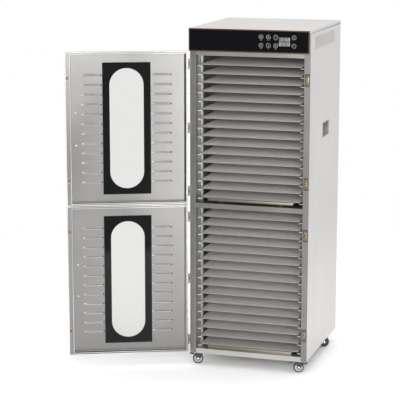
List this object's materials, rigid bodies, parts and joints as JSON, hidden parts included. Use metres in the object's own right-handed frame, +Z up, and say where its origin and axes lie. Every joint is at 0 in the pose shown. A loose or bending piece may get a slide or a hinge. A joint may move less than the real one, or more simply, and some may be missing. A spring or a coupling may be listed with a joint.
{
  "type": "proofing cabinet",
  "caption": "Tall stainless two-bay tray cabinet on casters, with windowed louvred doors, sliding mesh trays in wire racks, rear fans and a touch control header.",
  "frame": {"origin": "centre of the bounding box's bottom face, on the floor under the casters, doors open as stored", "axes": "+Z up, +Y towards the back panel, +X towards the latch side; the doors hinge on the -X side"},
  "size_m": [1.0032, 0.8082, 1.473],
  "materials": {
    "steel": "fine brushed",
    "wire": "bright drawn wire",
    "drip_tray": "satin",
    "handle": "polished",
    "glass": "tempered, black border",
    "fascia": "gloss overlay",
    "fan": "satin",
    "caster_black": "satin black",
    "tyre": "matte",
    "brass": "satin",
    "black_trim": "matte"
  },
  "bodies": {
    "root": {"left_side_panel": "steel", "right_side_panel": "steel", "top_cover": "steel", "back_panel": "steel", "base_panel": "steel", "bay_divider": "steel", "header_box": "steel", "control_fascia": "fascia", "lower_wire_rack": "wire", "upper_wire_rack": "wire"},
    "upper_door": {"upper_door_panel": "steel", "upper_door_glass": "glass", "upper_door_handle": "handle"},
    "lower_door": {"lower_door_panel": "steel", "lower_door_glass": "glass", "lower_door_handle": "handle"},
    "caster_swivel_front_left": {"caster_fork_front_left": "caster_black"},
    "caster_wheel_front_left": {"caster_wheel_front_left": "tyre"},
    "caster_swivel_front_right": {"caster_fork_front_right": "caster_black"},
    "caster_wheel_front_right": {"caster_wheel_front_right": "tyre"},
    "caster_swivel_rear_left": {"caster_fork_rear_left": "caster_black"},
    "caster_wheel_rear_left": {"caster_wheel_rear_left": "tyre"},
    "caster_swivel_rear_right": {"caster_fork_rear_right": "caster_black"},
    "caster_wheel_rear_right": {"caster_wheel_rear_right": "tyre"},
    "upper_fan": {"upper_fan": "fan"},
    "lower_fan": {"lower_fan": "fan"},
    "upper_tray_16": {"upper_tray_16": "wire"},
    "upper_tray_15": {"upper_tray_15": "wire"},
    "upper_tray_14": {"upper_tray_14": "wire"},
    "upper_tray_13": {"upper_tray_13": "wire"},
    "upper_tray_12": {"upper_tray_12": "wire"},
    "upper_tray_11": {"upper_tray_11": "wire"},
    "upper_tray_10": {"upper_tray_10": "wire"},
    "upper_tray_09": {"upper_tray_09": "wire"},
    "upper_tray_08": {"upper_tray_08": "wire"},
    "upper_tray_07": {"upper_tray_07": "wire"},
    "upper_tray_06": {"upper_tray_06": "wire"},
    "upper_tray_05": {"upper_tray_05": "wire"},
    "upper_tray_04": {"upper_tray_04": "wire"},
    "upper_tray_03": {"upper_tray_03": "wire"},
    "upper_tray_02": {"upper_tray_02": "wire"},
    "upper_tray_01": {"upper_tray_01": "wire"},
    "upper_drip_tray": {"upper_drip_tray": "drip_tray"},
    "lower_tray_16": {"lower_tray_16": "wire"},
    "lower_tray_15": {"lower_tray_15": "wire"},
    "lower_tray_14": {"lower_tray_14": "wire"},
    "lower_tray_13": {"lower_tray_13": "wire"},
    "lower_tray_12": {"lower_tray_12": "wire"},
    "lower_tray_11": {"lower_tray_11": "wire"},
    "lower_tray_10": {"lower_tray_10": "wire"},
    "lower_tray_09": {"lower_tray_09": "wire"},
    "lower_tray_08": {"lower_tray_08": "wire"},
    "lower_tray_07": {"lower_tray_07": "wire"},
    "lower_tray_06": {"lower_tray_06": "wire"},
    "lower_tray_05": {"lower_tray_05": "wire"},
    "lower_tray_04": {"lower_tray_04": "wire"},
    "lower_tray_03": {"lower_tray_03": "wire"},
    "lower_tray_02": {"lower_tray_02": "wire"},
    "lower_tray_01": {"lower_tray_01": "wire"},
    "lower_drip_tray": {"lower_drip_tray": "drip_tray"}
  },
  "joints": [
    {"name": "upper_door_swing", "type": "hinge", "parent": "root", "child": "upper_door", "pos_m": [-0.02136, -0.18885, 1.05], "axis": [0, 0, -1], "range_deg": [-156.6, 23.4]},
    {"name": "lower_door_swing", "type": "hinge", "parent": "root", "child": "lower_door", "pos_m": [-0.02136, -0.18885, 0.394], "axis": [0, 0, -1], "range_deg": [-156.6, 23.4]},
    {"name": "caster_swivel_front_left", "type": "hinge", "parent": "root", "child": "caster_swivel_front_left", "pos_m": [0.01464, -0.13085, 0.0555], "axis": [0, 0, 1], "continuous": true},
    {"name": "caster_swivel_front_right", "type": "hinge", "parent": "root", "child": "caster_swivel_front_right", "pos_m": [0.46864, -0.13085, 0.0555], "axis": [0, 0, 1], "continuous": true},
    {"name": "caster_swivel_rear_left", "type": "hinge", "parent": "root", "child": "caster_swivel_rear_left", "pos_m": [0.01764, 0.27215, 0.0555], "axis": [0, 0, 1], "continuous": true},
    {"name": "caster_swivel_rear_right", "type": "hinge", "parent": "root", "child": "caster_swivel_rear_right", "pos_m": [0.46564, 0.27215, 0.0555], "axis": [0, 0, 1], "continuous": true},
    {"name": "caster_roll_front_left", "type": "hinge", "parent": "caster_swivel_front_left", "child": "caster_wheel_front_left", "pos_m": [0.00323, -0.13456, 0.0225], "axis": [0.309, -0.9511, 0], "continuous": true},
    {"name": "caster_roll_front_right", "type": "hinge", "parent": "caster_swivel_front_right", "child": "caster_wheel_front_right", "pos_m": [0.45723, -0.13456, 0.0225], "axis": [0.309, -0.9511, 0], "continuous": true},
    {"name": "caster_roll_rear_left", "type": "hinge", "parent": "caster_swivel_rear_left", "child": "caster_wheel_rear_left", "pos_m": [0.02906, 0.27586, 0.0225], "axis": [-0.309, 0.9511, 0], "continuous": true},
    {"name": "caster_roll_rear_right", "type": "hinge", "parent": "caster_swivel_rear_right", "child": "caster_wheel_rear_right", "pos_m": [0.47706, 0.27586, 0.0225], "axis": [-0.309, 0.9511, 0], "continuous": true},
    {"name": "upper_fan_spin", "type": "hinge", "parent": "root", "child": "upper_fan", "pos_m": [0.24164, 0.32215, 1.042], "axis": [0, 1, 0], "continuous": true},
    {"name": "lower_fan_spin", "type": "hinge", "parent": "root", "child": "lower_fan", "pos_m": [0.24164, 0.32215, 0.3925], "axis": [0, 1, 0], "continuous": true},
    {"name": "upper_tray_16_slide", "type": "slide", "parent": "root", "child": "upper_tray_16", "axis": [0, -1, 0], "range_m": [0, 0.36]},
    {"name": "upper_tray_15_slide", "type": "slide", "parent": "root", "child": "upper_tray_15", "axis": [0, -1, 0], "range_m": [0, 0.36]},
    {"name": "upper_tray_14_slide", "type": "slide", "parent": "root", "child": "upper_tray_14", "axis": [0, -1, 0], "range_m": [0, 0.36]},
    {"name": "upper_tray_13_slide", "type": "slide", "parent": "root", "child": "upper_tray_13", "axis": [0, -1, 0], "range_m": [0, 0.36]},
    {"name": "upper_tray_12_slide", "type": "slide", "parent": "root", "child": "upper_tray_12", "axis": [0, -1, 0], "range_m": [0, 0.36]},
    {"name": "upper_tray_11_slide", "type": "slide", "parent": "root", "child": "upper_tray_11", "axis": [0, -1, 0], "range_m": [0, 0.36]},
    {"name": "upper_tray_10_slide", "type": "slide", "parent": "root", "child": "upper_tray_10", "axis": [0, -1, 0], "range_m": [0, 0.36]},
    {"name": "upper_tray_09_slide", "type": "slide", "parent": "root", "child": "upper_tray_09", "axis": [0, -1, 0], "range_m": [0, 0.36]},
    {"name": "upper_tray_08_slide", "type": "slide", "parent": "root", "child": "upper_tray_08", "axis": [0, -1, 0], "range_m": [0, 0.36]},
    {"name": "upper_tray_07_slide", "type": "slide", "parent": "root", "child": "upper_tray_07", "axis": [0, -1, 0], "range_m": [0, 0.36]},
    {"name": "upper_tray_06_slide", "type": "slide", "parent": "root", "child": "upper_tray_06", "axis": [0, -1, 0], "range_m": [0, 0.36]},
    {"name": "upper_tray_05_slide", "type": "slide", "parent": "root", "child": "upper_tray_05", "axis": [0, -1, 0], "range_m": [0, 0.36]},
    {"name": "upper_tray_04_slide", "type": "slide", "parent": "root", "child": "upper_tray_04", "axis": [0, -1, 0], "range_m": [0, 0.36]},
    {"name": "upper_tray_03_slide", "type": "slide", "parent": "root", "child": "upper_tray_03", "axis": [0, -1, 0], "range_m": [0, 0.36]},
    {"name": "upper_tray_02_slide", "type": "slide", "parent": "root", "child": "upper_tray_02", "axis": [0, -1, 0], "range_m": [0, 0.36]},
    {"name": "upper_tray_01_slide", "type": "slide", "parent": "root", "child": "upper_tray_01", "axis": [0, -1, 0], "range_m": [0, 0.36]},
    {"name": "upper_drip_tray_slide", "type": "slide", "parent": "root", "child": "upper_drip_tray", "axis": [0, -1, 0], "range_m": [0, 0.36]},
    {"name": "lower_tray_16_slide", "type": "slide", "parent": "root", "child": "lower_tray_16", "axis": [0, -1, 0], "range_m": [0, 0.36]},
    {"name": "lower_tray_15_slide", "type": "slide", "parent": "root", "child": "lower_tray_15", "axis": [0, -1, 0], "range_m": [0, 0.36]},
    {"name": "lower_tray_14_slide", "type": "slide", "parent": "root", "child": "lower_tray_14", "axis": [0, -1, 0], "range_m": [0, 0.36]},
    {"name": "lower_tray_13_slide", "type": "slide", "parent": "root", "child": "lower_tray_13", "axis": [0, -1, 0], "range_m": [0, 0.36]},
    {"name": "lower_tray_12_slide", "type": "slide", "parent": "root", "child": "lower_tray_12", "axis": [0, -1, 0], "range_m": [0, 0.36]},
    {"name": "lower_tray_11_slide", "type": "slide", "parent": "root", "child": "lower_tray_11", "axis": [0, -1, 0], "range_m": [0, 0.36]},
    {"name": "lower_tray_10_slide", "type": "slide", "parent": "root", "child": "lower_tray_10", "axis": [0, -1, 0], "range_m": [0, 0.36]},
    {"name": "lower_tray_09_slide", "type": "slide", "parent": "root", "child": "lower_tray_09", "axis": [0, -1, 0], "range_m": [0, 0.36]},
    {"name": "lower_tray_08_slide", "type": "slide", "parent": "root", "child": "lower_tray_08", "axis": [0, -1, 0], "range_m": [0, 0.36]},
    {"name": "lower_tray_07_slide", "type": "slide", "parent": "root", "child": "lower_tray_07", "axis": [0, -1, 0], "range_m": [0, 0.36]},
    {"name": "lower_tray_06_slide", "type": "slide", "parent": "root", "child": "lower_tray_06", "axis": [0, -1, 0], "range_m": [0, 0.36]},
    {"name": "lower_tray_05_slide", "type": "slide", "parent": "root", "child": "lower_tray_05", "axis": [0, -1, 0], "range_m": [0, 0.36]},
    {"name": "lower_tray_04_slide", "type": "slide", "parent": "root", "child": "lower_tray_04", "axis": [0, -1, 0], "range_m": [0, 0.36]},
    {"name": "lower_tray_03_slide", "type": "slide", "parent": "root", "child": "lower_tray_03", "axis": [0, -1, 0], "range_m": [0, 0.36]},
    {"name": "lower_tray_02_slide", "type": "slide", "parent": "root", "child": "lower_tray_02", "axis": [0, -1, 0], "range_m": [0, 0.36]},
    {"name": "lower_tray_01_slide", "type": "slide", "parent": "root", "child": "lower_tray_01", "axis": [0, -1, 0], "range_m": [0, 0.36]},
    {"name": "lower_drip_tray_slide", "type": "slide", "parent": "root", "child": "lower_drip_tray", "axis": [0, -1, 0], "range_m": [0, 0.36]}
  ]
}
